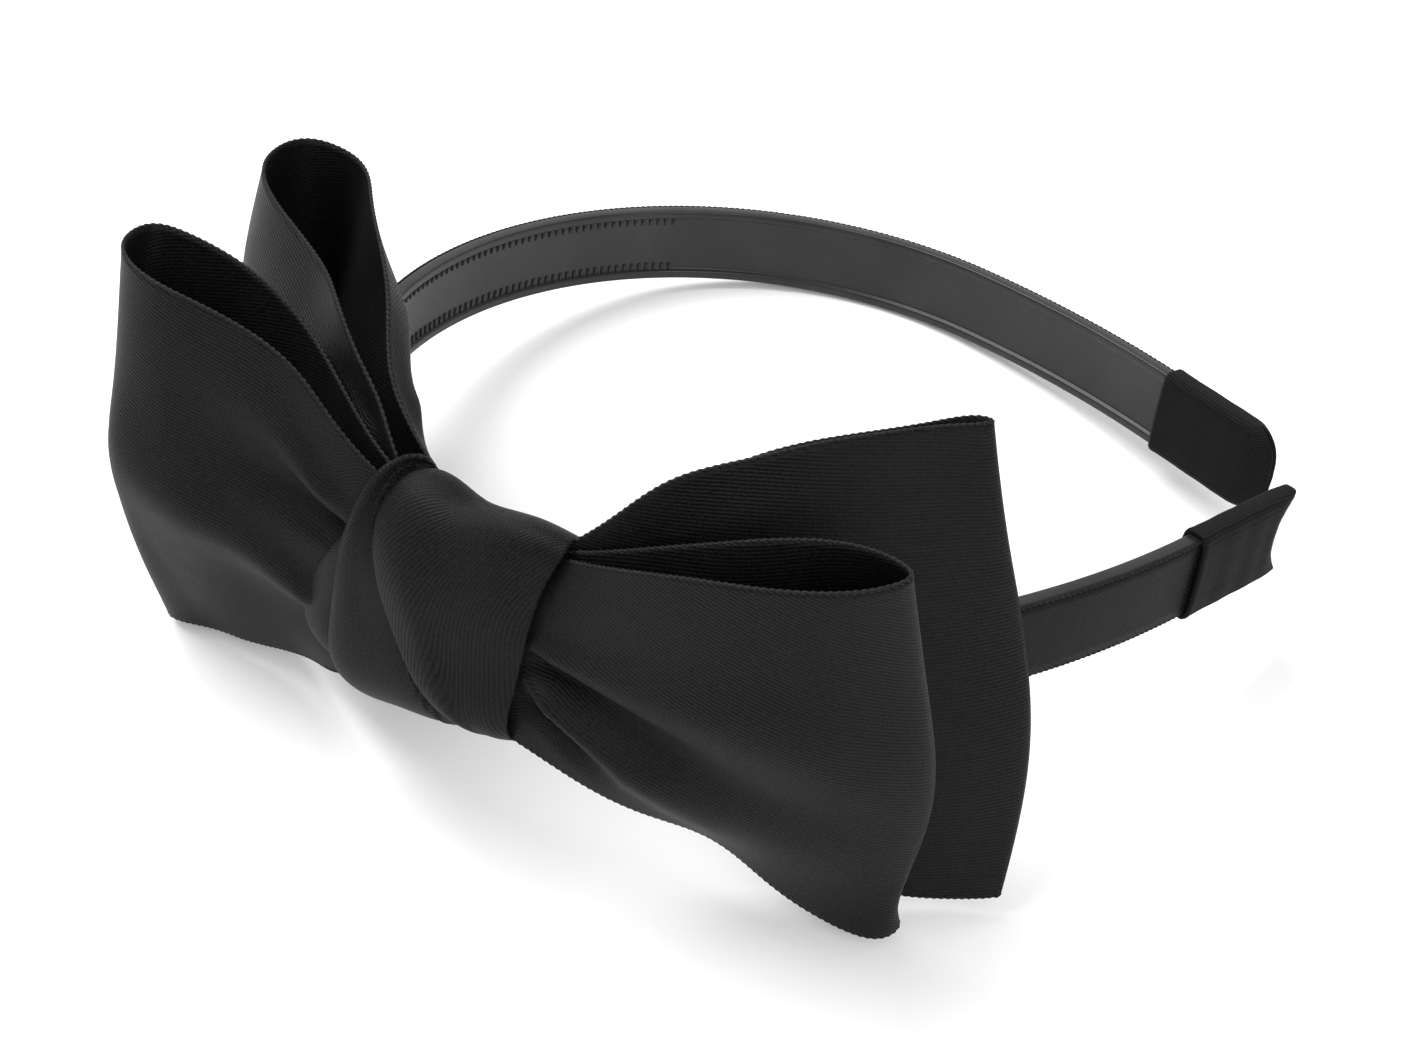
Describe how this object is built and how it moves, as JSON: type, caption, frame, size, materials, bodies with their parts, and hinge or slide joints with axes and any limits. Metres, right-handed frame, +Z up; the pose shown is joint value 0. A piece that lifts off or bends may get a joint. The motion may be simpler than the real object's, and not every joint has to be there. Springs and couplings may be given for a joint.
{
  "type": "double-bow headband",
  "caption": "Springy curved headband covered in black satin ribbon, with a layered ribbon bow knotted on one side and elastic-sleeved ends.",
  "frame": {"origin": "centre of the bounding box on the surface that the headband lies on", "axes": "+Z up from the table; +X from the crown towards the two tips; +Y from the bow's side to the bare side"},
  "size_m": [0.1653, 0.1456, 0.0699],
  "materials": {
    "plastic": "dark grey moulded plastic, lightly glossy",
    "satin_ribbon": "black satin-faced twill ribbon with woven edges",
    "elastic": "black ribbed elastic",
    "felt": "black felt",
    "thread": "black sewing thread"
  },
  "bodies": {
    "near_half": {"band_near_half": "plastic", "cover_near_half": "satin_ribbon", "near_end_sleeve": "elastic", "back_loop_left": "satin_ribbon", "back_loop_right": "satin_ribbon", "front_loop_left": "satin_ribbon", "front_loop_right": "satin_ribbon", "knot_under_wrap": "satin_ribbon", "knot_over_wrap": "satin_ribbon", "backing_felt": "felt", "waist_thread": "thread"},
    "far_half": {"band_far_half": "plastic", "cover_far_half": "satin_ribbon", "far_end_sleeve": "elastic"}
  },
  "joints": [
    {"name": "band_flex", "type": "hinge", "parent": "near_half", "child": "far_half", "pos_m": [-0.05565, 0.0133, 0.02349], "axis": [0.0578, 0.2267, 0.9723], "range_deg": [0, 32], "stiffness_Nm_per_rad": 0.45}
  ]
}
